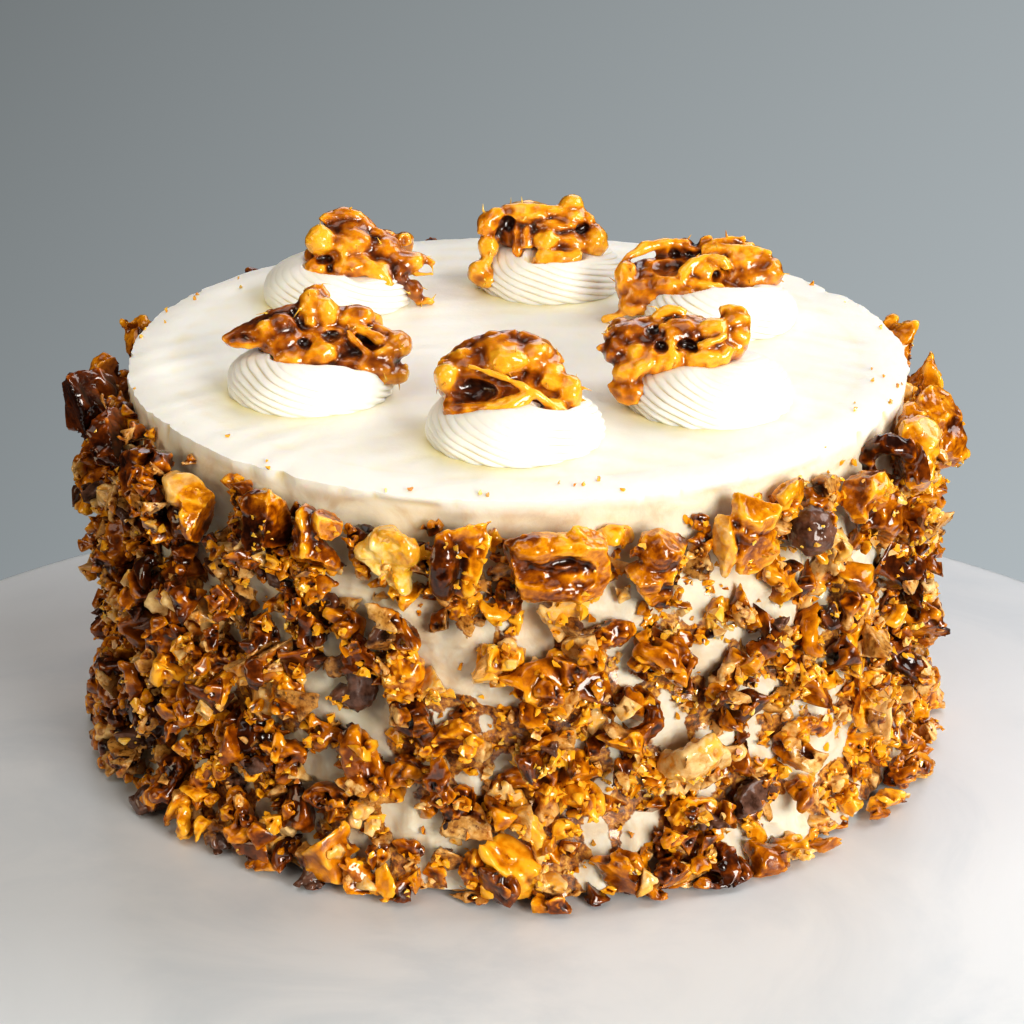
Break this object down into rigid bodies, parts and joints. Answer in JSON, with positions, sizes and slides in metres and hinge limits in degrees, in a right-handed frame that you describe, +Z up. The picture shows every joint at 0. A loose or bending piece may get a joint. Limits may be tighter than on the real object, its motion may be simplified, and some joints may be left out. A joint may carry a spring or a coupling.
{
  "type": "carrot cake",
  "caption": "Small round frosted carrot cake: chopped candied walnuts cover the side, and piped cream rosettes with walnut halves ring the top.",
  "frame": {"origin": "middle of the underside, under the centre of the outline's box", "axes": "+Z up out of the cake's top, -Y towards the shown front, +X to the right seen from the front"},
  "size_m": [0.1744, 0.1744, 0.0944],
  "materials": {
    "cream_frosting": "satin",
    "candied_walnut": "glossy",
    "chopped_nuts": "half glossy"
  },
  "bodies": {
    "root": {"frosted_cake": "cream_frosting", "nut_coat": "chopped_nuts", "rosette_1": "cream_frosting", "rosette_2": "cream_frosting", "rosette_3": "cream_frosting", "rosette_4": "cream_frosting", "rosette_5": "cream_frosting", "rosette_6": "cream_frosting", "walnut_1": "candied_walnut", "walnut_2": "candied_walnut", "walnut_3": "candied_walnut", "walnut_4": "candied_walnut", "walnut_5": "candied_walnut", "walnut_6": "candied_walnut", "rim_nut_01": "chopped_nuts", "rim_nut_02": "chopped_nuts", "rim_nut_03": "chopped_nuts", "rim_nut_04": "chopped_nuts", "rim_nut_05": "chopped_nuts", "rim_nut_06": "chopped_nuts", "rim_nut_07": "chopped_nuts", "rim_nut_08": "chopped_nuts", "rim_nut_09": "chopped_nuts", "rim_nut_10": "chopped_nuts", "rim_nut_11": "chopped_nuts", "rim_nut_12": "chopped_nuts", "rim_nut_13": "chopped_nuts", "rim_nut_14": "chopped_nuts", "rim_nut_15": "chopped_nuts", "rim_nut_16": "chopped_nuts", "rim_nut_17": "chopped_nuts", "rim_nut_18": "chopped_nuts", "rim_nut_19": "chopped_nuts", "rim_nut_20": "chopped_nuts", "rim_nut_21": "chopped_nuts", "rim_nut_22": "chopped_nuts", "rim_nut_23": "chopped_nuts", "rim_nut_24": "chopped_nuts", "rim_nut_25": "chopped_nuts", "rim_nut_26": "chopped_nuts", "rim_nut_27": "chopped_nuts", "rim_nut_28": "chopped_nuts"}
  },
  "joints": []
}
